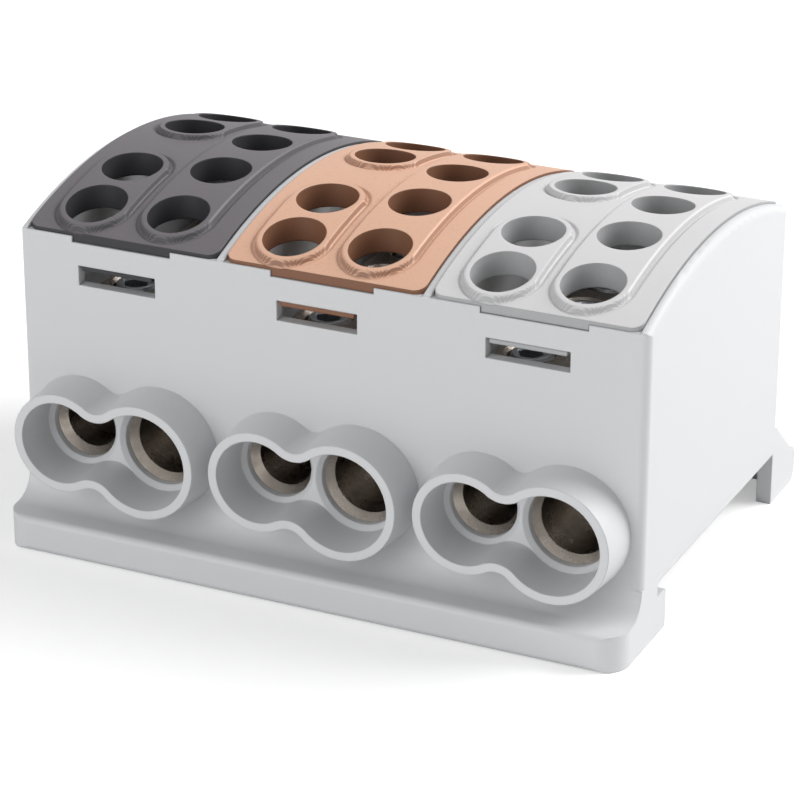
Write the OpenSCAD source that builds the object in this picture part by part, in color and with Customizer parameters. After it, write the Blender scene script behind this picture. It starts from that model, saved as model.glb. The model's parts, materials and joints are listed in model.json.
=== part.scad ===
// Three-pole main branch terminal block for a 35 mm top-hat rail.
// X runs across the poles, Y from the front (-) to the rear (+), Z up.
// Origin: middle of the footprint, on the plane of the two feet.

/* [Poles] */
// number of poles side by side
poles = 3; // [1:1:5]
// distance from one pole to the next
pole_pitch = 23.5; // [22:0.5:30]
// wall between two neighbouring covers, at the top
rib_w = 0.8; // [0.6:0.1:2]
// outer wall at each end of the block
end_wall = 1.0; // [0.8:0.1:3]
// the two bores' middle, from the pole's middle
axis_shift = -0.6; // [-1:0.1:1]
// distance between the tap bore and the main bore
bore_gap = 9.6; // [9:0.1:12]

/* [Housing] */
// front face
body_front = -21.0; // [-26:0.1:-20.5]
// rear face
body_rear = 20.2; // [19.5:0.1:25]
// front and rear wall thickness
face_wall = 1.3; // [1:0.1:2]
// top of the cell floor
floor_z = 7.3; // [7:0.1:9]
// crest height of the housing's ribs
crest_z = 38.85; // [36:0.05:45]
// radius of the arched top
arch_r = 57; // [45:0.5:80]
// how far below the crest the front and rear walls stop, under the covers
wall_drop = 3.95; // [3.9:0.05:6]
// rounding of the outer top edges
edge_r = 0.9; // [0.3:0.1:1]

/* [Feet and rail] */
// front edge of the front foot
foot_front = -26.9; // [-30:0.1:-25]
// rear edge of the rear foot
foot_rear = 26.9; // [25:0.1:30]
// height of the front foot
foot_h = 4.0; // [3.5:0.1:4.4]
// fillet above the front foot
foot_fillet = 3.0; // [1:0.1:4]
// plan rounding of the front foot's corners
foot_corner = 3.0; // [1:0.1:4]
// roof of the rail channel
rail_roof = 6.05; // [5.5:0.05:6.2]
// width of the rail it clips on
rail_w = 35; // [35:1:35]
// play of the rail between the hooks
rail_play = 0.45; // [0.2:0.05:1]
// middle of the rail, from the origin
rail_mid = 1.3; // [0:0.1:3]
// how far the front hook reaches under the rail
hook_reach = 2.45; // [1.5:0.05:3]
// slot height for the rail's edge
hook_slot = 1.65; // [1.3:0.05:2]
// reach of the rear snap nib
nib_reach = 0.8; // [0.4:0.1:1.2]
// end plates of the hollow rear foot
foot_plate = 1.7; // [1:0.1:3]
// roof of the hollow rear foot
core_top = 4.6; // [3:0.1:4.8]
// back wall of the hollow rear foot
core_wall = 2.2; // [1.5:0.1:4]
// where the rear shoulder leaves the rear face
shoulder_top = 8.8; // [7:0.1:12]
// height of the rear heel
heel_h = 4.4; // [3:0.1:5]
// rounding of the heel
heel_r = 1.6; // [0.5:0.1:2]
// rounding of the feet's long edges
foot_edge = 0.7; // [0.2:0.1:1]
// height of the snap nib
nib_low = 1.6; // [1:0.1:2.5]

/* [Cable entries] */
// height of the tap bore
tap_z = 13.1; // [12:0.1:15]
// height of the main bore
main_z = 12.6; // [12.3:0.1:15]
// inner radius of the tap funnel at its rim
tap_rim_r = 4.6; // [4.2:0.1:5]
// inner radius of the main funnel at its rim
main_rim_r = 5.45; // [5.2:0.05:5.6]
// radius of the fillet in the funnel's waist
waist_r = 3.1; // [2:0.1:5]
// wall of the funnel at its rim
rim_wall = 0.95; // [0.7:0.05:1.2]
// how much wider the funnel's outside is at its base
rim_draft = 0.4; // [0:0.1:0.8]
// how far the front funnels stand out
collar_front = 5.0; // [3:0.1:5.5]
// how far the rear funnels stand out
collar_rear = 4.2; // [3:0.1:6]
// radius of the tap entry in the wall
tap_entry_r = 3.8; // [3.4:0.1:4.2]
// radius of the main entry in the wall
main_entry_r = 4.6; // [4.2:0.1:4.8]
// lead-in around each entry
entry_lead = 0.5; // [0.2:0.1:0.7]

/* [Latch windows] */
// window width
window_w = 9.2; // [6:0.1:12]
// window height
window_h = 2.2; // [1.5:0.1:3]
// top of the window, below the top of the wall
window_drop = 3.2; // [3:0.1:6]

/* [Covers] */
// height of a cover above the ribs
cover_proud = 0.25; // [0:0.05:1]
// thickness of a cover
cover_t = 1.8; // [1.2:0.1:2.5]
// gap all round a cover
cover_gap = 0.08; // [0.05:0.01:0.2]
// height of the raised pads
pad_h = 0.75; // [0.3:0.05:1.2]
// radius of the screwdriver holes
hole_r = 3.34; // [3:0.02:3.4]
// wall of the screwdriver tubes
tube_wall = 0.76; // [0.5:0.02:0.8]
// lower end of the screwdriver tubes, below the top of the wall
tube_drop = 4.4; // [2:0.1:5]
// plan rounding of a cover's corners
cover_corner = 1.2; // [0.4:0.1:2]
// width of the tab on a cover's front edge
tab_w = 11.6; // [8:0.1:14]
// depth of that tab
tab_h = 0.6; // [0.3:0.1:1]
// thickness of the latch tongue
tongue_t = 1.0; // [0.8:0.1:1.5]
// height of the latch nib
nib_h = 0.45; // [0.3:0.05:0.8]

/* [Terminals] */
// radius of the tap bore
tap_r = 3.1; // [2.6:0.1:3.3]
// radius of the main bore
main_r = 3.9; // [3:0.1:4]
// lead-in at the bore mouths
bore_lead = 0.9; // [0.4:0.1:1]
// metal beside the bores
term_wall = 1.3; // [1:0.1:1.5]
// top of the terminal
term_top = 25.5; // [24:0.1:26]
// gap between the terminal and the walls
term_gap = 0.05; // [0.02:0.01:0.2]
// rounding of the terminal's long edges
term_edge = 1.5; // [0.5:0.1:2]
// thickness of the ribs that locate the terminal
guide_t = 2; // [1:0.1:3]
// distance of those ribs from the middle
guide_y = 9; // [6:0.5:12]

/* [Clamp screws] */
// screw radius
screw_r = 2.5; // [2:0.1:2.6]
// play in the tapped hole
screw_play = 0.05; // [0.02:0.01:0.08]
// screw length
screw_l = 9; // [7:0.5:10]
// tip height above the bore, backed off
tip_gap = 0.3; // [0.1:0.1:1]
// hex socket across flats
hex_af = 2.5; // [2:0.1:3]
// socket depth
hex_depth = 3; // [2:0.5:4]
// chamfer on tip and head
screw_lead = 0.5; // [0.2:0.1:0.8]
// middle of the tap screws, front pair
tap_front_y = -12.5; // [-14:0.1:-11]
// middle of the tap screws, rear pair
tap_rear_y = 9.4; // [8:0.1:12]
// distance between the two screws of a pair
tap_pair = 7.8; // [7.4:0.1:8.2]
// middle of the row of main screws
main_mid_y = -1.5; // [-2.5:0.1:0]
// distance between two main screws
main_pitch = 9.6; // [8.5:0.1:10]

/* [Colours] */
housing_colour = "#c9ccce";
black_colour = "#8a8487";
brown_colour = "#e3b596";
grey_colour = "#eceded";
metal_colour = "#b9b6b0";
screw_colour = "#8f9196";

/* [Hidden] */
$fn = 64;
eps = 0.01;
seam = 0.012;
half_w = (poles - 1) * pole_pitch / 2 + (pole_pitch - rib_w) / 2 + end_wall;
cell_w = pole_pitch - rib_w;
tap_x = axis_shift - bore_gap / 2;
main_x = axis_shift + bore_gap / 2;
wall_top_z = crest_z - wall_drop;
window_top = wall_top_z - window_drop;
tube_end = wall_top_z - tube_drop;
far = 2 * crest_z;
arch_y = (body_front + body_rear) / 2;
arch_z = crest_z - arch_r;
inner_front = body_front + face_wall;
inner_rear = body_rear - face_wall;
rail_front = rail_mid - (rail_w + rail_play) / 2;
rail_rear = rail_mid + (rail_w + rail_play) / 2;
hook_level = rail_roof - hook_slot;
pad_r = hole_r + tube_wall;
lid_w = cell_w - 2 * cover_gap;
lid_front = body_front + 0.15;
lid_rear = body_rear - 0.15;
term_left = tap_x - tap_r - term_wall;
term_right = main_x + main_r + term_wall;
tap_rows = [for (m = [tap_front_y, tap_rear_y], s = [-1, 1]) m + s * tap_pair / 2];
main_rows = [for (i = [0:3]) main_mid_y + (i - 1.5) * main_pitch];
function pole_x(p) = (p - (poles - 1) / 2) * pole_pitch;

// ---------- shared outlines ----------

// extrude a (y, z) outline along X, from x0 to x1
module along_x(x0, x1)
    translate([x0, 0, 0]) rotate([90, 0, 90]) linear_extrude(x1 - x0) children();

// extrude an (x, z) outline along Y, from y0 to y1
module along_y(y0, y1)
    translate([0, y1, 0]) rotate([90, 0, 0]) linear_extrude(y1 - y0) children();

// box from one corner to the other
module block(a, b) translate(a) cube(b - a);

// the block under the arch, grown by g
module arch(x0, x1, g)
    translate([x0, arch_y, arch_z]) rotate([0, 90, 0])
        cylinder(r = arch_r + g, h = x1 - x0, $fn = 180);

// rectangle with round corners, exact arcs
module soft_rect(x0, y0, x1, y1, r) {
    translate([x0 + r, y0]) square([x1 - x0 - 2 * r, y1 - y0]);
    translate([x0, y0 + r]) square([x1 - x0, y1 - y0 - 2 * r]);
    for (x = [x0 + r, x1 - r], y = [y0 + r, y1 - r]) translate([x, y]) circle(r);
}

// what a round edge of radius r leaves of a square corner at the origin, toward +x +y
module corner_waste(r)
    translate([-r, -r]) difference() { square(r + 1); circle(r); }

// two-lobed body with tapering sides: lobes ra and rb and the waist fillets rw share fixed
// centres, and every side moves out by grow over the height h; the seam lets the fillets bite
// a hair into the lobes, so that no sliver is left where they touch
module two_lobes(ra, rb, rw, grow, h) {
    d = sqrt(bore_gap * bore_gap + (tap_z - main_z) * (tap_z - main_z));
    along = ((ra + rw) * (ra + rw) - (rb + rw) * (rb + rw) + d * d) / (2 * d);
    side = sqrt((ra + rw) * (ra + rw) - along * along);
    over = grow * eps / h;
    translate([tap_x, tap_z, 0]) rotate(atan2(main_z - tap_z, bore_gap)) {
        cylinder(r1 = ra, r2 = ra + grow, h = h);
        translate([d, 0, 0]) cylinder(r1 = rb, r2 = rb + grow, h = h);
        difference() {
            linear_extrude(h) polygon([[0, 0], [along, side], [d, 0], [along, -side]]);
            for (s = [-1, 1]) translate([along, s * side, -eps])
                cylinder(r1 = rw + seam + over, r2 = rw + seam - grow - over, h = h + 2 * eps);
        }
    }
}

// ---------- housing ----------

// side outline of the body and its feet
module side_outline() {
    // body
    translate([body_front, rail_roof]) square([body_rear - body_front, crest_z - rail_roof]);
    // front foot with its concave fillet
    difference() {
        translate([body_front - foot_fillet, foot_h - eps])
            square([foot_fillet + eps, foot_fillet + eps]);
        translate([body_front - foot_fillet, foot_h + foot_fillet]) circle(foot_fillet);
    }
    soft_rect(foot_front, 0, rail_front, foot_h, foot_edge);
    // hook under the rail's front edge
    soft_rect(body_front, 0, rail_front + hook_reach, hook_level, foot_edge / 2);
    translate([body_front, foot_h / 2]) square([rail_front - body_front, rail_roof - foot_h / 2 + eps]);
    // rear foot: sloping shoulder and round heel
    polygon([[rail_rear, heel_r], [rail_rear, rail_roof + eps], [body_rear, rail_roof + eps],
        [body_rear, shoulder_top], [foot_rear - heel_r, heel_h], [foot_rear - heel_r, heel_r]]);
    translate([rail_rear, 0]) square([heel_r, heel_h]);
    soft_rect(rail_rear, 0, foot_rear, heel_h, heel_r);
}

module housing_solid() {
    intersection() {
        along_x(-half_w, half_w) side_outline();
        union() {
            arch(-half_w, half_w, 0);
            block([-half_w, foot_front - 1, -1], [half_w, foot_rear + 1, crest_z / 2]);
        }
    }
    for (p = [0 : poles - 1]) translate([pole_x(p), 0, 0]) {
        collar(body_front, collar_front);
        translate([0, body_front + body_rear, 0]) mirror([0, 1, 0])
            collar(body_front, collar_rear);
    }
}

// outside of one funnel, standing out of the face at y = face toward -Y
module collar(face, out) translate([0, face + eps, 0]) rotate([90, 0, 0])
    two_lobes(tap_rim_r + rim_wall + rim_draft, main_rim_r + rim_wall + rim_draft,
        waist_r - rim_wall - rim_draft, -rim_draft, out + eps);

// inside of one funnel and its two round entries
module entry(face, out) {
    flare = tap_rim_r - tap_entry_r - entry_lead;
    translate([0, face, 0]) rotate([90, 0, 0])
        two_lobes(tap_rim_r - flare, main_rim_r - flare, waist_r + flare, flare, out + eps);
    for (b = [[tap_x, tap_z, tap_entry_r], [main_x, main_z, main_entry_r]])
        translate([b[0], face - eps, b[1]]) rotate([-90, 0, 0]) {
            cylinder(r = b[2], h = face_wall + 2 * eps);
            cylinder(r1 = b[2] + entry_lead, r2 = b[2], h = entry_lead);
        }
}

// the hollow of one pole, open at the top, with the terminal's locating ribs left standing
module cell() {
    difference() {
        block([-cell_w / 2, inner_front, floor_z], [cell_w / 2, inner_rear, crest_z + 2]);
        for (y = [-guide_y - guide_t / 2, guide_y - guide_t / 2]) {
            block([-cell_w / 2 - 1, y, 0], [term_left - term_gap, y + guide_t, term_top - guide_t]);
            block([term_right + term_gap, y, 0], [cell_w / 2 + 1, y + guide_t, term_top - guide_t]);
        }
    }
    // room for the cover over the front and rear walls
    block([-cell_w / 2, body_front - 1, wall_top_z], [cell_w / 2, body_rear + 1, crest_z + 2]);
    for (s = [[body_front - 1, inner_front + eps], [inner_rear - eps, body_rear + 1]]) {
        // recess for the cover's tab
        block([-tab_w / 2 - cover_gap, s[0], wall_top_z - tab_h - cover_gap],
            [tab_w / 2 + cover_gap, s[1], wall_top_z + 1]);
        // latch window
        block([axis_shift - window_w / 2, s[0], window_top - window_h],
            [axis_shift + window_w / 2, s[1], window_top]);
    }
}

// cores that leave the rear foot as a shell between its plates
module foot_cores() {
    middles = [for (p = [0 : 1 : poles]) pole_x(p) - pole_pitch / 2];
    for (i = [0 : poles - 1])
        block([i == 0 ? -half_w + foot_plate : middles[i] + foot_plate / 2, rail_rear - 1, -1],
            [i == poles - 1 ? half_w - foot_plate : middles[i + 1] - foot_plate / 2,
            foot_rear - core_wall, core_top]);
}

module housing() color(housing_colour) {
    difference() {
        housing_solid();
        for (p = [0 : poles - 1]) translate([pole_x(p), 0, 0]) {
            cell();
            entry(body_front, collar_front);
            translate([0, body_front + body_rear, 0]) mirror([0, 1, 0])
                entry(body_front, collar_rear);
        }
        foot_cores();
        // round outer top edges along the arch
        for (s = [-1, 1]) translate([s * half_w, arch_y, arch_z]) rotate([0, s * 90, 0])
            rotate_extrude($fn = 180) translate([arch_r, 0]) corner_waste(edge_r);
        // round vertical edges above the feet
        for (s = [-1, 1]) {
            translate([s * half_w, body_front, foot_h + foot_fillet]) scale([s, -1, 1])
                linear_extrude(crest_z) corner_waste(edge_r);
            translate([s * half_w, body_rear, shoulder_top]) scale([s, 1, 1])
                linear_extrude(crest_z) corner_waste(edge_r);
            // plan corners of the front foot
            translate([s * half_w, foot_front, -1]) scale([s, -1, 1])
                linear_extrude(foot_h + 2) corner_waste(foot_corner);
        }
    }
    // snap nib for the rail's rear edge, hung from the roof of the hollow foot
    along_x(-pole_pitch / 2, pole_pitch / 2)
        polygon([[rail_rear + heel_r, core_top + eps], [rail_rear, core_top + eps],
            [rail_rear, hook_level], [rail_rear - nib_reach, hook_level],
            [rail_rear - nib_reach, hook_level - nib_reach], [rail_rear + nib_reach, nib_low],
            [rail_rear + heel_r, nib_low]]);
}

// ---------- covers ----------

// raised outline round a row of holes at x, from y0 to y1
module row_outline(x, y0, y1, r) {
    translate([x - r, y0]) square([2 * r, y1 - y0]);
    for (y = [y0, y1]) translate([x, y]) circle(r);
}

module all_rows(r) {
    row_outline(tap_x, tap_rows[0], tap_rows[1], r);
    row_outline(tap_x, tap_rows[2], tap_rows[3], r);
    row_outline(main_x, main_rows[0], main_rows[3], r);
}

module cover() {
    top = cover_proud;
    difference() {
        union() {
            // arched plate and its lip over the front and rear walls
            difference() {
                intersection() {
                    arch(-lid_w / 2, lid_w / 2, top);
                    translate([0, 0, wall_top_z]) linear_extrude(far)
                        soft_rect(-lid_w / 2, lid_front, lid_w / 2, lid_rear, cover_corner);
                }
                intersection() {
                    arch(-lid_w, lid_w, top - cover_t);
                    block([-lid_w, inner_front + tongue_t, 0], [lid_w, inner_rear - tongue_t, far]);
                }
            }
            // raised pads of even height
            intersection() {
                translate([0, 0, wall_top_z]) linear_extrude(far) all_rows(pad_r);
                arch(-lid_w / 2, lid_w / 2, top + pad_h);
                block([-lid_w, lid_front, 0], [lid_w, lid_rear, far]);
            }
            // screwdriver tubes
            intersection() {
                translate([0, 0, tube_end]) linear_extrude(far) all_rows(pad_r);
                arch(-lid_w / 2, lid_w / 2, top);
                block([-lid_w, inner_front + cover_gap, 0], [lid_w, inner_rear - cover_gap, far]);
            }
            // front and rear: tab, latch tongue and nib
            for (m = [0, 1]) translate([0, m * (body_front + body_rear), 0]) mirror([0, m, 0])
                latch_side();
        }
        for (y = tap_rows) translate([tap_x, y, 0]) cylinder(r = hole_r, h = far);
        for (y = main_rows) translate([main_x, y, 0]) cylinder(r = hole_r, h = far);
    }
}

module latch_side() {
    half = window_w / 2 - 0.4;
    low = window_top - nib_h - cover_gap;
    block([-tab_w / 2, lid_front, wall_top_z - tab_h], [tab_w / 2, inner_front + tongue_t, wall_top_z + eps]);
    block([axis_shift - half, inner_front + cover_gap, low],
        [axis_shift + half, inner_front + tongue_t, wall_top_z + eps]);
    block([axis_shift - half, body_front + 0.05, low],
        [axis_shift + half, inner_front + tongue_t, window_top - cover_gap]);
}

// ---------- terminals ----------

module terminal() color(metal_colour) {
    y0 = inner_front + term_gap;
    y1 = inner_rear - term_gap;
    difference() {
        along_y(y0, y1) soft_rect(term_left, floor_z, term_right, term_top, term_edge);
        bore(tap_x, tap_z, tap_r, y0, y1);
        bore(main_x, main_z, main_r, y0, y1);
        for (y = tap_rows) tapped(tap_x, y, tap_z);
        for (y = main_rows) tapped(main_x, y, main_z);
    }
}

module bore(x, z, r, y0, y1) translate([x, 0, z]) rotate([-90, 0, 0]) {
    translate([0, 0, y0 - 1]) cylinder(r = r, h = y1 - y0 + 2);
    translate([0, 0, y0 - eps]) cylinder(r1 = r + bore_lead, r2 = r, h = bore_lead);
    translate([0, 0, y1 - bore_lead + eps]) cylinder(r1 = r, r2 = r + bore_lead, h = bore_lead);
}

module tapped(x, y, z) translate([x, y, z]) {
    cylinder(r = screw_r + screw_play, h = term_top - z + 1);
    translate([0, 0, term_top - z - 0.4])
        cylinder(r1 = screw_r + screw_play, r2 = screw_r + screw_play + 0.4, h = 0.4 + eps);
}

// ---------- clamp screws ----------

// column 0 is the tap row, column 1 the main row; n counts from the front
module screw(p, column, n) color(screw_colour) {
    x = pole_x(p) + (column == 0 ? tap_x : main_x);
    y = column == 0 ? tap_rows[n] : main_rows[n];
    tip = column == 0 ? tap_z + tap_r + tip_gap : main_z + main_r + tip_gap;
    translate([x, y, tip]) difference() {
        union() {
            cylinder(r1 = screw_r - screw_lead, r2 = screw_r, h = screw_lead);
            translate([0, 0, screw_lead]) cylinder(r = screw_r, h = screw_l - 2 * screw_lead);
            translate([0, 0, screw_l - screw_lead])
                cylinder(r1 = screw_r, r2 = screw_r - screw_lead, h = screw_lead);
        }
        translate([0, 0, screw_l - hex_depth])
            cylinder(r = hex_af / sqrt(3), h = hex_depth + 1, $fn = 6);
    }
}

// ---------- nodes ----------

module cover_black() color(black_colour) translate([pole_x(0), 0, 0]) cover();
module cover_brown() color(brown_colour) translate([pole_x(1), 0, 0]) cover();
module cover_grey() color(grey_colour) translate([pole_x(2), 0, 0]) cover();
module terminal_1() translate([pole_x(0), 0, 0]) terminal();
module terminal_2() translate([pole_x(1), 0, 0]) terminal();
module terminal_3() translate([pole_x(2), 0, 0]) terminal();

housing();
cover_black();
cover_brown();
cover_grey();
terminal_1();
terminal_2();
terminal_3();
screw(0, 0, 0);  // screw_1a1
screw(0, 0, 1);  // screw_1a2
screw(0, 0, 2);  // screw_1a3
screw(0, 0, 3);  // screw_1a4
screw(0, 1, 0);  // screw_1b1
screw(0, 1, 1);  // screw_1b2
screw(0, 1, 2);  // screw_1b3
screw(0, 1, 3);  // screw_1b4
screw(1, 0, 0);  // screw_2a1
screw(1, 0, 1);  // screw_2a2
screw(1, 0, 2);  // screw_2a3
screw(1, 0, 3);  // screw_2a4
screw(1, 1, 0);  // screw_2b1
screw(1, 1, 1);  // screw_2b2
screw(1, 1, 2);  // screw_2b3
screw(1, 1, 3);  // screw_2b4
screw(2, 0, 0);  // screw_3a1
screw(2, 0, 1);  // screw_3a2
screw(2, 0, 2);  // screw_3a3
screw(2, 0, 3);  // screw_3a4
screw(2, 1, 0);  // screw_3b1
screw(2, 1, 1);  // screw_3b2
screw(2, 1, 2);  // screw_3b3
screw(2, 1, 3);  // screw_3b4
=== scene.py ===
# %% [markdown]
# # A power distribution block for a top-hat rail
#
# The block joins three supplies, each to its own branches. A grey moulded housing holds three drilled
# metal blocks side by side. Every block is reached from the front and the rear through a funnel in
# the shape of an eight: the small lobe takes a tap cable and the large lobe the main cable.
# Screws come down on the cables from above, through the holes of a black, a brown and a grey cover.
#
# The shapes come ready-made from the CAD frame. This script gives them their plastics and metals, adds
# what is too fine for the CAD model, such as the screw threads, and sets up a small studio.
#
# The first cell loads the frame. Lengths on the real block are in millimetres, and Blender works in
# metres, so one factor turns the first into the second.

import json
import math

import bmesh
import bpy
from mathutils import Matrix, Vector


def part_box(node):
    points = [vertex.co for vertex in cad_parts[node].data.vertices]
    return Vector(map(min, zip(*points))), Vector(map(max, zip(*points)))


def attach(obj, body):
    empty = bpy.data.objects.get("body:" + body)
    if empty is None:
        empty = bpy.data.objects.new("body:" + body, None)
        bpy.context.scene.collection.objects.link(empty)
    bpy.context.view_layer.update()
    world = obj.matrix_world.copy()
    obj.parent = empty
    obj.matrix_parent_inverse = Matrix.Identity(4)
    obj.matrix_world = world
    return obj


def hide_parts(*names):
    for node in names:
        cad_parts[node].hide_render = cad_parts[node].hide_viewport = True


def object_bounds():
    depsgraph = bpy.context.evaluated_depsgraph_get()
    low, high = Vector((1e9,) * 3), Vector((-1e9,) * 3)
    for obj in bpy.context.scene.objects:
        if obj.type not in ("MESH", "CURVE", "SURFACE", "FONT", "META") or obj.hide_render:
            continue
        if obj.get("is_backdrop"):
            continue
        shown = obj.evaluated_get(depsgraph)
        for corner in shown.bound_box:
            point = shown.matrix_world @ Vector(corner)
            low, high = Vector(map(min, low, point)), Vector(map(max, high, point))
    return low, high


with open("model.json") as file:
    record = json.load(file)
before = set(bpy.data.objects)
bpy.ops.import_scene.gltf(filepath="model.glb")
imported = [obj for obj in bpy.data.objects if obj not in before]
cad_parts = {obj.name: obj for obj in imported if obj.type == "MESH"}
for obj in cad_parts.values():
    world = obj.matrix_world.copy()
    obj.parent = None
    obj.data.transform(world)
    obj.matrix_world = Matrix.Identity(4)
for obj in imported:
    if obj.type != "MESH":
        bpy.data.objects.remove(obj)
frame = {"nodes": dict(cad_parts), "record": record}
nodes = frame["nodes"]
cad_low, cad_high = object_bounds()
MM = 0.001

size = (cad_high - cad_low) / MM
print(f"frame: {len(nodes)} nodes, {size.x:.1f} x {size.y:.1f} x {size.z:.1f} mm")

# %% [markdown]
# ## Where the viewer stands
#
# A catalogue shows parts from well back with a long lens, so that upright edges stay nearly parallel.
# The camera here stands a good third of a metre away, looks down at the block from the front right, and
# is given by an azimuth, an elevation and a distance, because those are what one adjusts in a studio.
# A matrix built from three directions places it exactly, roll included.

# %% Camera
AZIMUTH = math.radians(25.12)
ELEVATION = math.radians(23.142)
ROLL = math.radians(0.129)
DISTANCE = 365.69 * MM
AIM = Vector((-2.74, 3.73, 11.48)) * MM
SENSOR = 36.0
LENS = 147.98
NEAREST = 0.01
FARTHEST = 10


def camera_matrix():
    """The camera's place and turn, from the studio angles."""
    away = Vector((
        math.sin(AZIMUTH) * math.cos(ELEVATION),
        -math.cos(AZIMUTH) * math.cos(ELEVATION),
        math.sin(ELEVATION),
    ))
    level = Vector((math.cos(AZIMUTH), math.sin(AZIMUTH), 0))
    upright = away.cross(level)
    right = level * math.cos(ROLL) + upright * math.sin(ROLL)
    up = away.cross(right)
    matrix = Matrix((right, up, away)).transposed().to_4x4()
    matrix.translation = AIM + away * DISTANCE
    return matrix


def stand(name, data):
    """A new object in the scene, at the origin, for a mesh, a camera or a light."""
    made = bpy.data.objects.new(name, data)
    bpy.context.scene.collection.objects.link(made)
    return made


lens = bpy.data.cameras.new("camera")
lens.sensor_width = SENSOR
lens.lens = LENS
lens.clip_start = NEAREST
lens.clip_end = FARTHEST
camera = stand("camera", lens)
camera.matrix_world = camera_matrix()
bpy.context.scene.camera = camera
print(f"camera: {DISTANCE / MM:.0f} mm away, {LENS:.0f} mm lens")

# %% [markdown]
# ## Writing materials as sums
#
# A node material is a sum of patterns, and a sum reads best as one. The class below wraps the socket
# that a pattern comes out of, so that `grain * 0.3 + 0.5` adds the Math nodes by itself. Every other node
# comes from its one method `make`, which takes the node's type, its settings and what goes in.

# %% A socket that can be calculated with


class Wire:
    """The end of a node link, which can stand in a Python expression."""

    def __init__(self, tree, socket=None):
        self.tree, self.socket = tree, socket

    def make(self, kind, settings=None, sockets=None, out=0):
        """A new node of this kind; its settings are made before its sockets are filled."""
        node = self.tree.nodes.new(kind)
        for name, value in (settings or {}).items():
            setattr(node, name, value)
        for key, value in (sockets or {}).items():
            if isinstance(value, Wire):
                self.tree.links.new(value.socket, node.inputs[key])
            else:
                node.inputs[key].default_value = value
        return Wire(self.tree, node.outputs[out])

    def maths(self, operation, *values):
        """One Math node on these values; its name is that of the operation."""
        return self.make("ShaderNodeMath", {"operation": operation}, dict(enumerate(values)))

    def __add__(self, other):
        return self.maths("ADD", self, other)

    def __sub__(self, other):
        return self.maths("SUBTRACT", self, other)

    def __mul__(self, other):
        return self.maths("MULTIPLY", self, other)

    def __rsub__(self, other):
        return self.maths("SUBTRACT", other, self)

    __radd__ = __add__
    __rmul__ = __mul__


def mix(factor, first, second):
    """Blend two colours by a factor; the node keeps its colour sockets at places 6, 7 and 2."""
    return factor.make("ShaderNodeMix", {"data_type": "RGBA"}, {0: factor, 6: first, 7: second}, 2)


def paint(code):
    """A colour as it is written for the web, in Blender's linear numbers."""
    channels = [int(code[i : i + 2], 16) / 255 for i in (1, 3, 5)]
    linear = [c / 12.92 if c < 0.04045 else ((c + 0.055) / 1.055) ** 2.4 for c in channels]  # sRGB
    return (*linear, 1.0)


print(f"wire: white is {paint('#ffffff')[:3]}")

# %% [markdown]
# ## Moulded plastic
#
# The housing and the covers are injection moulded. The mould is spark-eroded, which leaves a fine matt
# grain, a few hundredths of a millimetre deep, on every outer face. The plastic itself is dyed and not
# painted, so its colour is even, with a faint flow of lighter and darker streaks.
#
# Three noises make this: a broad one for the flow of the colour, a fine one for the grain, and a
# speckle for the glass fibres that show in the copper cover. The covers' upright faces, such as the
# walls of their holes, get a darker painted shade in place of the shadow that falls into them. No moulded
# edge is sharp, so a Bevel node rounds the shading along the edges, and they catch the light as real ones
# do.

# %% Plastic
GRAIN = 0.22 * MM
GRAIN_DEPTH = 0.006 * MM
FLOW = 14 * MM
STREAK_SHARE = 0.5
SPECK = 0.35 * MM
# Painted shade of upright faces: it begins where a face's normal points this high and is full here.
PAINTED_SHADE_FROM, PAINTED_SHADE_FULL = 0.6, 0.2
EDGE = 0.22 * MM
BEVEL_SAMPLES = 4


def start_material(name):
    """A new node material with its shader, and a wire to start from."""
    material = bpy.data.materials.new(name)
    material.use_nodes = True
    tree = material.node_tree
    shader = tree.nodes["Principled BSDF"]
    return material, Wire(tree), shader


def noise(wire, place, length, detail=3.0, roughness=0.5):
    """A noise whose lumps are about this long, from 0 to 1."""
    sockets = {"Vector": place, "Scale": 1 / length, "Detail": detail, "Roughness": roughness}
    return wire.make("ShaderNodeTexNoise", {}, sockets)


def step(wire, value, low, high):
    """0 below low, 1 above high and smooth in between."""
    sockets = {"Value": value, "From Min": low, "From Max": high}
    return wire.make("ShaderNodeMapRange", {"interpolation_type": "SMOOTHSTEP"}, sockets)


def bump(wire, height, depth, normal):
    """A relief of this depth, on top of a normal."""
    sockets = {"Height": height, "Distance": depth, "Strength": 1.0, "Normal": normal}
    return wire.make("ShaderNodeBump", {}, sockets)


def plastic(name, shade, streak, speck, speck_share, upright):
    """Matt moulded plastic in one shade, with faint streaks and specks, and a darker painted shade on
    upright faces.
    """
    material, wire, shader = start_material(name)
    place = wire.make("ShaderNodeTexCoord", out="Object")
    flow = noise(wire, place, FLOW, 4.0, 0.6)
    colour = mix(step(wire, flow, 0.35, 0.7) * STREAK_SHARE, paint(shade), paint(streak))
    dots = noise(wire, place, SPECK, 2.0, 0.7)
    colour = mix(step(wire, dots, 0.56, 0.72) * speck_share, colour, paint(speck))
    facing = wire.make("ShaderNodeNewGeometry", out="True Normal")
    skyward = wire.make("ShaderNodeSeparateXYZ", {}, {"Vector": facing}, "Z")
    # Painted shade: upright faces, such as the walls of the holes, take the darker colour in place of their
    # shadow.
    colour = mix(step(wire, skyward, PAINTED_SHADE_FROM, PAINTED_SHADE_FULL), colour, paint(upright))
    grain = noise(wire, place, GRAIN, 3.0, 0.6)
    rounded = wire.make("ShaderNodeBevel", {"samples": BEVEL_SAMPLES}, {"Radius": EDGE})
    tree = material.node_tree
    tree.links.new(colour.socket, shader.inputs["Base Color"])
    tree.links.new((flow * 0.1 + 0.45).socket, shader.inputs["Roughness"])
    tree.links.new(bump(wire, grain, GRAIN_DEPTH, rounded).socket, shader.inputs["Normal"])
    shader.inputs["IOR"].default_value = 1.5
    shader.inputs["Specular IOR Level"].default_value = 0.4
    return material


# The last colour of each plastic is the painted shade of its upright faces; the housing's matches its own
# shade.
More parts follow.
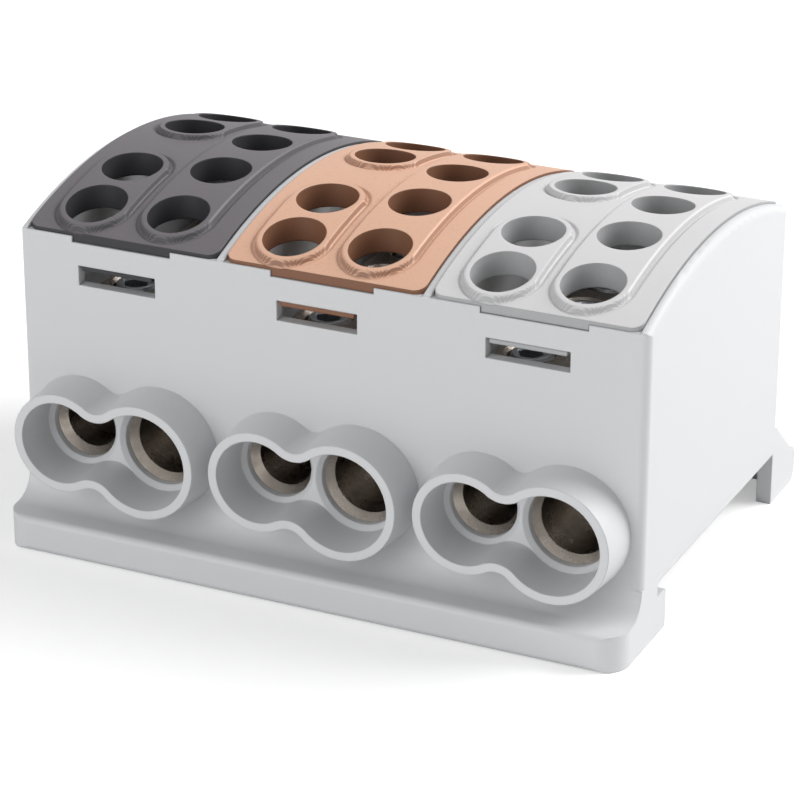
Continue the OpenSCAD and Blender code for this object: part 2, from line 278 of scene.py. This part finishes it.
housing_plastic = plastic("housing_plastic", "#cfd0d2", "#cbccce", "#bfc0c2", 0.15, "#cfd0d2")
black_plastic = plastic("black_plastic", "#666266", "#6b676b", "#7b767a", 0.3, "#343437")
brown_plastic = plastic("brown_plastic", "#d9ad93", "#ddb299", "#b9896c", 0.35, "#7d5640")
grey_plastic = plastic("grey_plastic", "#d3d2d3", "#cfcecf", "#c5c4c5", 0.2, "#a9aaab")
print(f"plastics: edges rounded by {EDGE / MM:.2f} mm")

# %% [markdown]
# ## Drilled and plated metal
#
# Each metal block is sawn from a brass bar, drilled through twice, tapped from above and nickel-plated.
# The drill leaves fine rings round the bore, and the plating is warm grey and bright. The rings are a
# wave along the bore; metal shows its finish through its reflections, so the wave feeds the bump and
# a noise breaks up the roughness. The screws are zinc-plated steel, turned on a lathe, so the same
# material runs its rings along them.

# %% Metal
DRILL_PITCH = 0.08 * MM
DRILL_DEPTH = 0.0015 * MM
LATHE_PITCH = 0.2 * MM
LATHE_DEPTH = 0.003 * MM
DRIFT = 3 * MM
CLOUD = 2.2 * MM
METAL_EDGE = 0.1 * MM


def metal(name, shade, stain, rough, wave_axis, pitch, depth):
    """Plated metal with machining marks along one axis."""
    material, wire, shader = start_material(name)
    place = wire.make("ShaderNodeTexCoord", out="Object")
    along = wire.make("ShaderNodeSeparateXYZ", {}, {"Vector": place}, wave_axis)
    drift = noise(wire, place, DRIFT, 3.0, 0.6)
    rings = wire.maths("SINE", along * (2 * math.pi / pitch) + drift * 3.0)
    cloudy = step(wire, noise(wire, place, CLOUD, 5.0, 0.65), 0.4, 0.75)
    rounded = wire.make("ShaderNodeBevel", {"samples": BEVEL_SAMPLES}, {"Radius": METAL_EDGE})
    tree = material.node_tree
    tree.links.new(mix(cloudy * 0.6, paint(shade), paint(stain)).socket, shader.inputs["Base Color"])
    tree.links.new((cloudy * 0.15 + rough).socket, shader.inputs["Roughness"])
    tree.links.new(bump(wire, rings, depth, rounded).socket, shader.inputs["Normal"])
    shader.inputs["Metallic"].default_value = 1.0
    return material


plated_brass = metal("plated_brass", "#b5aca2", "#8f857a", 0.27, "Y", DRILL_PITCH, DRILL_DEPTH)
zinc_steel = metal("zinc_steel", "#c3c6ca", "#9fa3a8", 0.3, "Z", LATHE_PITCH, LATHE_DEPTH)
print(f"metals: {plated_brass.name} and {zinc_steel.name}")

# %% A finish on every CAD node
finishes = {
    "housing": housing_plastic,
    "cover_black": black_plastic,
    "cover_brown": brown_plastic,
    "cover_grey": grey_plastic,
    "terminal": plated_brass,
    "screw": zinc_steel,
}
for part in frame["record"]["subparts"]:
    mesh = nodes[part["node"]].data
    mesh.materials.clear()
    mesh.materials.append(finishes[part["material_slot"]])
print(f"finishes: {len(finishes)} on {len(nodes)} nodes")

# %% [markdown]
# ## Clamp screws
#
# Twenty-four headless screws, M5 by name, press the cables into the bores. Each has a chamfered tip, a
# fine thread and a hexagon socket. In the CAD frame they are plain cylinders, so each one gets a
# threaded piece in its place.
#
# A thread is a rule and not a drawing: the surface stands out or in by how far round and how far up a
# point is. So the blank is turned once as a mesh with many rings, and a Geometry Nodes tree cuts the
# thread by moving its points. The result is made a plain mesh, copied to every screw's place and
# set to ride on that screw's own body, because each of them travels by itself.

# %% Sizes of a screw
SEGMENTS = 36
RINGS_PER_TURN = 6
THREAD_PITCH = 0.8 * MM
THREAD_DEPTH = 0.38 * MM
CHAMFER = 0.45 * MM
HEXAGON = 6
SOCKET_ACROSS = 2.5 * MM
SOCKET_DEPTH = 3.0 * MM
SOCKET_MOUTH = 1.12
SOCKET_CHAMFER = 0.15 * MM
DRILL_TIP = 0.3 * MM
DRILL_TIP_SHARE = 0.6

sample_low, sample_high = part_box("screw_1a1")
SCREW_R = (sample_high.x - sample_low.x) / 2
SCREW_L = sample_high.z - sample_low.z
print(f"screw: {2 * SCREW_R / MM:.1f} x {SCREW_L / MM:.1f} mm")

# %% The turned blank


def ring(mesh, radius, height, corners):
    """A ring of points; with six corners it is a hexagon drawn with as many points as a circle."""
    points = []
    for i in range(SEGMENTS):
        turn = 2 * math.pi * i / SEGMENTS
        reach = radius
        if corners == HEXAGON:
            reach = radius * math.cos(math.pi / 6) / math.cos(turn % (math.pi / 3) - math.pi / 6)
        points.append(mesh.verts.new((reach * math.cos(turn), reach * math.sin(turn), height)))
    return points


def screw_profile():
    """Radius, height and corners of every ring, from the tip up and then down into the socket."""
    threaded_l = SCREW_L - 2 * CHAMFER
    count = round(threaded_l / THREAD_PITCH * RINGS_PER_TURN)
    socket_r = SOCKET_ACROSS / math.sqrt(3)
    floor_z = SCREW_L - SOCKET_DEPTH
    shank = [(SCREW_R, CHAMFER + threaded_l * i / count, SEGMENTS) for i in range(count + 1)]
    return [
        (SCREW_R - CHAMFER, 0, SEGMENTS),
        *shank,
        (SCREW_R - CHAMFER, SCREW_L, SEGMENTS),
        (socket_r * SOCKET_MOUTH, SCREW_L, SEGMENTS),
        (socket_r, SCREW_L - SOCKET_CHAMFER, HEXAGON),
        (socket_r, floor_z, HEXAGON),
        (socket_r * DRILL_TIP_SHARE, floor_z - DRILL_TIP, HEXAGON),
    ]


def turned_blank():
    """The screw before its thread is cut, standing on its tip at the origin."""
    mesh = bmesh.new()
    rings = [ring(mesh, *row) for row in screw_profile()]
    for lower, upper in zip(rings, rings[1:]):
        for i in range(SEGMENTS):
            j = (i + 1) % SEGMENTS
            mesh.faces.new((lower[i], lower[j], upper[j], upper[i]))
    mesh.faces.new(reversed(rings[0]))
    mesh.faces.new(rings[-1])
    made = bpy.data.meshes.new("screw_blank")
    mesh.to_mesh(made)
    mesh.free()
    return stand("screw_blank", made)


screw_blank = turned_blank()
print(f"blank: {len(screw_blank.data.polygons)} faces")

# %% [markdown]
# ## Shapes as rules
#
# A Geometry Nodes tree takes a piece and some named sizes, and gives a new piece. The sums in it are
# written like those of the materials, so a class of its own only keeps the results of the same kind.
# Every tree here opens and closes alike: it has its sizes as inputs, and it ends by turning copies
# into real geometry and giving them one finish.

# %% Opening, closing and running a tree


class Field(Wire):
    """The same sums for the fields of a Geometry Nodes tree."""

    def make(self, kind, settings=None, sockets=None, out=0):
        """A new node of this kind, as a field."""
        made = super().make(kind, settings, sockets, out)
        return Field(made.tree, made.socket)


def open_tree(name, sizes=()):
    """A tree with a geometry, these sizes and a finish as inputs: a field to start from, and the inputs."""
    tree = bpy.data.node_groups.new(name, "GeometryNodeTree")
    sockets = tree.interface
    sockets.new_socket("Geometry", in_out="OUTPUT", socket_type="NodeSocketGeometry")
    sockets.new_socket("Geometry", in_out="INPUT", socket_type="NodeSocketGeometry")
    for size_name in sizes:
        sockets.new_socket(size_name, in_out="INPUT", socket_type="NodeSocketFloat")
    sockets.new_socket("Finish", in_out="INPUT", socket_type="NodeSocketMaterial")
    given = tree.nodes.new("NodeGroupInput")
    return Field(tree), {socket.name: Field(tree, socket) for socket in given.outputs if socket.name}


def close_tree(shape, finish):
    """Ends a tree with this shape as real geometry in one finish."""
    real = shape.make("GeometryNodeRealizeInstances", {}, {"Geometry": shape})
    done = shape.make("GeometryNodeSetMaterial", {}, {"Geometry": real, "Material": finish})
    end = shape.tree.nodes.new("NodeGroupOutput")
    shape.tree.links.new(done.socket, end.inputs["Geometry"])
    return shape.tree


def position(start):
    """The three numbers of a point's place."""
    place = start.make("GeometryNodeInputPosition")
    return [start.make("ShaderNodeSeparateXYZ", {}, {"Vector": place}, axis) for axis in "XYZ"]


def grown(piece, tree, values):
    """The plain mesh that a tree makes of a piece; the modifier is gone afterwards."""
    modifier = piece.modifiers.new(tree.name, "NODES")
    modifier.node_group = tree
    inputs = [item for item in tree.interface.items_tree if item.in_out == "INPUT"]
    names = {item.name: item.identifier for item in inputs}
    for name, value in values.items():
        modifier[names[name]] = value
    view = bpy.context.evaluated_depsgraph_get()
    mesh = bpy.data.meshes.new_from_object(piece.evaluated_get(view), depsgraph=view)
    piece.modifiers.remove(modifier)
    return mesh


print("trees: open, close and grow")

# %% The tree that cuts a thread
CREST = 1.25
SKIN = 0.05 * MM


def thread_tree():
    """Moves points towards the axis by a triangle wave that climbs one pitch a turn."""
    start, take = open_tree("cut_thread", ("Pitch", "Depth", "Radius"))
    x, y, z = position(start)
    climb = z.maths("DIVIDE", z, take["Pitch"]) - start.maths("ARCTAN2", y, x) * (0.5 / math.pi)
    flank = climb.maths("PINGPONG", climb, 0.5) * 2
    crested = flank.maths("MINIMUM", flank * CREST, 1.0)
    radius = start.maths("SQRT", x * x + y * y)
    outside = radius.maths("COMPARE", radius, take["Radius"], SKIN)
    flat = start.make("ShaderNodeCombineXYZ", {}, {"X": x, "Y": y})
    outward = start.make("ShaderNodeVectorMath", {"operation": "NORMALIZE"}, {0: flat})
    depth = (1 - crested) * outside * take["Depth"] * -1
    offset = start.make("ShaderNodeVectorMath", {"operation": "SCALE"}, {0: outward, "Scale": depth})
    sockets = {"Geometry": take["Geometry"], "Offset": offset}
    return close_tree(start.make("GeometryNodeSetPosition", {}, sockets), take["Finish"])


threaded = grown(screw_blank, thread_tree(), {
    "Pitch": THREAD_PITCH,
    "Depth": THREAD_DEPTH,
    "Radius": SCREW_R,
    "Finish": zinc_steel,
})
bpy.data.objects.remove(screw_blank)
print(f"thread: {len(threaded.vertices)} points")

# %% A screw on every body
screws = [part["node"] for part in frame["record"]["subparts"] if part["material_slot"] == "screw"]
for node in screws:
    low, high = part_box(node)
    mesh = threaded.copy()
    mesh.transform(Matrix.Translation(((low.x + high.x) / 2, (low.y + high.y) / 2, low.z)))
    piece = stand("threaded_" + node, mesh)
    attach(piece, node)
    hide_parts(node)
print(f"screws: {len(screws)}, each on its own body")

# %% [markdown]
# ## Arched covers
#
# Each pole has a snapped-in cover: a plate bent to the arch of the housing, with a low raised pad round
# every row of screwdriver holes and a fine groove at the pad's foot. The moulded pads have soft
# shoulders that catch a thin line of shade, which flat CAD faces lack, so each cover is made anew in
# place of its CAD node.
#
# The form is a rule again. A fine flat slab is bent by moving its points: the arch is part of a circle, and
# the pads rise where a point's distance to the nearest row of holes falls below the pad's radius. The
# holes and the round corners are then cut by solids, and the latches are added.

# %% Sizes of a cover
ARCH_RADIUS = 57.25 * MM
ARCH_MIDDLE = -0.4 * MM
ARCH_TOP = 39.1 * MM
PLATE = 2.2 * MM
PAD_HEIGHT = 0.42 * MM
PAD_RADIUS = 4.05 * MM
SHOULDER = 0.3 * MM
GROOVE = 0.3 * MM
GROOVE_DEPTH = 0.2 * MM
HOLE_RADIUS = 3.34 * MM
HOLE_SEGMENTS = 72
COVER_HALF_WIDTH = 11.27 * MM
COVER_FRONT = -20.85 * MM
COVER_REAR = 20.05 * MM
WALL_FRONT = -19.62 * MM
WALL_REAR = 18.82 * MM
WALL_TOP = 34.9 * MM
CORNER = 1.2 * MM
CORNER_POINTS = 8
CELL = 0.16 * MM
TOOL_LENGTH = 60 * MM


def row_places():
    """Where the screws of the middle pole stand, from its CAD nodes, as a tap row and a main row."""
    found = {"a": [], "b": []}
    for name in screws:
        _, (pole, row, _) = name.split("_")
        if pole == "2":
            low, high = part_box(name)
            found[row].append(((low.x + high.x) / 2, (low.y + high.y) / 2))
    return [sorted(places, key=lambda place: place[1]) for places in found.values()]


tap_row, main_row = row_places()
pads = [(tap_row[0], tap_row[1]), (tap_row[2], tap_row[3]), (main_row[0], main_row[3])]
print(f"cover: {len(pads)} pads for {len(tap_row) + len(main_row)} holes")

# %% The bent plate with its pads


def solid_box(start, low, high, cells=(2, 2, 2)):
    """A closed box between two corners."""
    extent = [b - a for a, b in zip(low, high)]
    counts = {"Vertices " + axis: count for axis, count in zip("XYZ", cells)}
    cube = start.make("GeometryNodeMeshCube", {}, {"Size": extent, **counts})
    middle = [(a + b) / 2 for a, b in zip(low, high)]
    return start.make("GeometryNodeTransform", {}, {"Geometry": cube, "Translation": middle})


def pad_distance(x, y, pad):
    """How far a point is outside a pad: the pad's middle line runs from its first hole to its last."""
    (row_x, first), (_, last) = pad
    beyond = x.maths("MAXIMUM", x.maths("ABSOLUTE", y - (first + last) / 2) - (last - first) / 2, 0.0)
    across = x - row_x
    return x.maths("SQRT", across * across + beyond * beyond) - PAD_RADIUS


def bent_slab(start):
    """The plate with its pads, still with square corners and no holes."""
    low = (-COVER_HALF_WIDTH, COVER_FRONT, -MM)
    high = (COVER_HALF_WIDTH, COVER_REAR, MM)
    counts = [round((b - a) / CELL) for a, b in zip(low[:2], high[:2])]
    slab = solid_box(start, low, high, (*counts, 2))
    x, y, z = position(start)
    along = y - ARCH_MIDDLE
    arch = start.maths("SQRT", ARCH_RADIUS**2 - along * along) + (ARCH_TOP - ARCH_RADIUS)
    nearest = start.maths("MINIMUM", pad_distance(x, y, pads[0]), pad_distance(x, y, pads[1]))
    nearest = start.maths("MINIMUM", nearest, pad_distance(x, y, pads[2]))
    rise = step(start, nearest, SHOULDER / 2, -SHOULDER / 2)
    groove = step(start, nearest, GROOVE + SHOULDER, GROOVE) * (1 - rise)
    top = arch + rise * PAD_HEIGHT - groove * GROOVE_DEPTH
    over_wall = y.maths("LESS_THAN", y, WALL_FRONT) + y.maths("GREATER_THAN", y, WALL_REAR)
    bottom = (arch - PLATE) * (1 - over_wall) + over_wall * WALL_TOP
    upper = z.maths("GREATER_THAN", z, 0.0)
    height = top * upper + bottom * (1 - upper)
    goal = start.make("ShaderNodeCombineXYZ", {}, {"X": x, "Y": y, "Z": height})
    return start.make("GeometryNodeSetPosition", {}, {"Geometry": slab, "Position": goal})


print(f"plate: {PLATE / MM:.1f} mm thick, cells of {CELL / MM:.2f} mm")

# %% Round corners and drilled holes


def round_plan(start):
    """An upright prism with the cover's round corners."""
    sheet_size = {"Width": 2 * COVER_HALF_WIDTH, "Height": COVER_REAR - COVER_FRONT}
    sheet = start.make("GeometryNodeCurvePrimitiveQuadrilateral", {}, sheet_size)
    sockets = {"Curve": sheet, "Radius": CORNER, "Count": CORNER_POINTS, "Limit Radius": True}
    soft = start.make("GeometryNodeFilletCurve", {"mode": "POLY"}, sockets)
    face = start.make("GeometryNodeFillCurve", {"mode": "NGONS"}, {"Curve": soft})
    sockets = {"Mesh": face, "Offset": (0, 0, TOOL_LENGTH), "Individual": False}
    raised = start.make("GeometryNodeExtrudeMesh", {}, sockets)
    under = start.make("GeometryNodeFlipFaces", {}, {"Mesh": face})
    shell = start.make("GeometryNodeJoinGeometry")
    for part in (raised, under):
        start.tree.links.new(part.socket, shell.socket.node.inputs[0])
    closed = start.make("GeometryNodeMergeByDistance", {}, {"Geometry": shell, "Distance": MM / 1000})
    middle = (0, (COVER_FRONT + COVER_REAR) / 2, 0)
    return start.make("GeometryNodeTransform", {}, {"Geometry": closed, "Translation": middle})


def drills(start, points):
    """A drill on every point that the tree is given."""
    sockets = {"Vertices": HOLE_SEGMENTS, "Radius": HOLE_RADIUS, "Depth": TOOL_LENGTH}
    drill = start.make("GeometryNodeMeshCylinder", {}, sockets)
    placed = start.make("GeometryNodeInstanceOnPoints", {}, {"Points": points, "Instance": drill})
    return start.make("GeometryNodeRealizeInstances", {}, {"Geometry": placed})


print(f"tools: corners of {CORNER / MM:.1f} mm, drills of {2 * HOLE_RADIUS / MM:.2f} mm")

# %% Latches
TAB_HALF_WIDTH = 5.8 * MM
TAB_DROP = 0.6 * MM
LATCH_LEFT = -4.8 * MM
LATCH_RIGHT = 3.6 * MM
LATCH_INSIDE = -18.7 * MM
NIB_LOW = 31.17 * MM
NIB_TOP = 31.62 * MM
NIB_PROUD = 0.1 * MM
LAP = 0.3 * MM


def latches(start):
    """The tab, the tongue and its nib, at the front and mirrored at the rear."""
    lap_z = WALL_TOP + LAP
    blocks = [
        ((-TAB_HALF_WIDTH, COVER_FRONT, WALL_TOP - TAB_DROP), (TAB_HALF_WIDTH, LATCH_INSIDE, lap_z)),
        ((LATCH_LEFT, WALL_FRONT, NIB_LOW), (LATCH_RIGHT, LATCH_INSIDE, lap_z)),
        ((LATCH_LEFT, COVER_FRONT - NIB_PROUD, NIB_LOW), (LATCH_RIGHT, LATCH_INSIDE, NIB_TOP)),
    ]
    for low, high in blocks:
        yield solid_box(start, low, high)
        front, rear = 2 * ARCH_MIDDLE - high[1], 2 * ARCH_MIDDLE - low[1]
        yield solid_box(start, (low[0], front, low[2]), (high[0], rear, high[2]))


print(f"latches: tongues {(LATCH_RIGHT - LATCH_LEFT) / MM:.1f} mm wide")

# %% The tree that moulds a cover


def combine(start, operation, solids):
    """Solids made one; for a difference the others are taken from the first."""
    made = start.make("GeometryNodeMeshBoolean", {"operation": operation, "solver": "MANIFOLD"})
    first, others = made.socket.node.inputs[:2]
    for place, solid in enumerate(solids):
        into = first if operation == "DIFFERENCE" and place == 0 else others
        start.tree.links.new(solid.socket, into)
    return made


def cover_tree():
    """Makes the middle pole's cover from the points where its holes go."""
    start, take = open_tree("mould_cover")
    plate = combine(start, "INTERSECT", [bent_slab(start), round_plan(start)])
    whole = combine(start, "UNION", [plate, *latches(start)])
    drilled = combine(start, "DIFFERENCE", [whole, drills(start, take["Geometry"])])
    return close_tree(drilled, take["Finish"])


moulding = cover_tree()
print(f"moulding: {len(moulding.nodes)} nodes")

# %% A cover over each pole
marks = bpy.data.meshes.new("hole_marks")
marks.from_pydata([(x, y, WALL_TOP) for x, y in tap_row + main_row], [], [])
mould = stand("hole_marks", marks)
for node in ("cover_black", "cover_brown", "cover_grey"):
    low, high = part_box(node)
    mesh = grown(mould, moulding, {"Finish": finishes[node]})
    mesh.transform(Matrix.Translation(((low.x + high.x) / 2, 0, 0)))
    cover = stand("moulded_" + node, mesh)
    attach(cover, "body")
    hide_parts(node)
    print(f"{node}: {len(mesh.polygons)} faces")
bpy.data.objects.remove(mould)

# %% [markdown]
# ## A small studio
#
# Pale plastic is best lit from large soft sources, so that no highlight burns out. One big panel hangs
# to the right and a little behind, where the end face and the tops catch it and the holes' near walls
# stay dark. A second one lifts the front. The room itself is white to the camera and to anything
# that mirrors it, and only a moderate grey as a source of light, which keeps the colours true.

# %% The room and the floor
ROOM_LIGHT = 0.4
ROOM_MIRROR = 0.9
WHITE = (1, 1, 1, 1)
FLOOR_SIZE = 3.0
FLOOR_GREY = (0.8, 0.8, 0.8, 1)
FLOOR_ROUGH = 0.9
FLOOR_LIFT = 0.35


def white_room():
    """The world: white to look at, softer as a light."""
    world = bpy.data.worlds.new("room")
    world.use_nodes = True
    bpy.context.scene.world = world
    wire = Wire(world.node_tree)
    camera_ray, mirror_ray, glass_ray = (
        wire.make("ShaderNodeLightPath", out=ray)
        for ray in ("Is Camera Ray", "Is Glossy Ray", "Is Transmission Ray")
    )
    seen = wire.maths("MAXIMUM", camera_ray, glass_ray)
    strength = seen * (1 - ROOM_LIGHT) + mirror_ray * (ROOM_MIRROR - ROOM_LIGHT) + ROOM_LIGHT
    backdrop = world.node_tree.nodes["Background"]
    world.node_tree.links.new(strength.socket, backdrop.inputs["Strength"])
    backdrop.inputs["Color"].default_value = WHITE


def white_floor():
    """A pale floor that shows white and keeps a soft shadow."""
    mesh = bpy.data.meshes.new("floor")
    half = FLOOR_SIZE / 2
    corners = [(-half, -half, 0), (half, -half, 0), (half, half, 0), (-half, half, 0)]
    mesh.from_pydata(corners, [], [(0, 1, 2, 3)])
    material, wire, shader = start_material("floor")
    shader.inputs["Base Color"].default_value = FLOOR_GREY
    shader.inputs["Roughness"].default_value = FLOOR_ROUGH
    shader.inputs["Emission Color"].default_value = WHITE
    seen = wire.make("ShaderNodeLightPath", out="Is Camera Ray")
    material.node_tree.links.new((seen * FLOOR_LIFT).socket, shader.inputs["Emission Strength"])
    mesh.materials.append(material)
    floor = stand("floor", mesh)
    floor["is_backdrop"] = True


white_room()
white_floor()
print(f"room: light at {ROOM_LIGHT:.2f}, floor {FLOOR_SIZE:.0f} m wide")

# %% Two soft panels
centre = (cad_low + cad_high) / 2


def panel(name, place, width, power):
    """A square soft light at a place, turned to the part's middle."""
    light = bpy.data.lights.new(name, "AREA")
    light.size = width
    light.energy = power
    lamp = stand(name, light)
    lamp.location = place
    lamp.rotation_euler = (centre - Vector(place)).to_track_quat("-Z", "Y").to_euler()


panel("key", (0.37, 0.26, 0.36), 0.35, 3.4)
panel("fill", (-0.22, -0.52, 0.2), 0.4, 1.5)
bpy.context.scene.view_settings.view_transform = "Standard"
print(f"studio: {len(bpy.data.lights)} panels")

# %% [markdown]
# ## Closing
#
# The finished model is meant to keep the size of the CAD part, so the last cell measures how far it
# stands out of the CAD box.

# %% Measure and finish
low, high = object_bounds()
growth = max(max(cad_low - low), max(high - cad_high)) / MM
print(f"size: the visual model stands {growth:.3f} mm out of the CAD box at most")
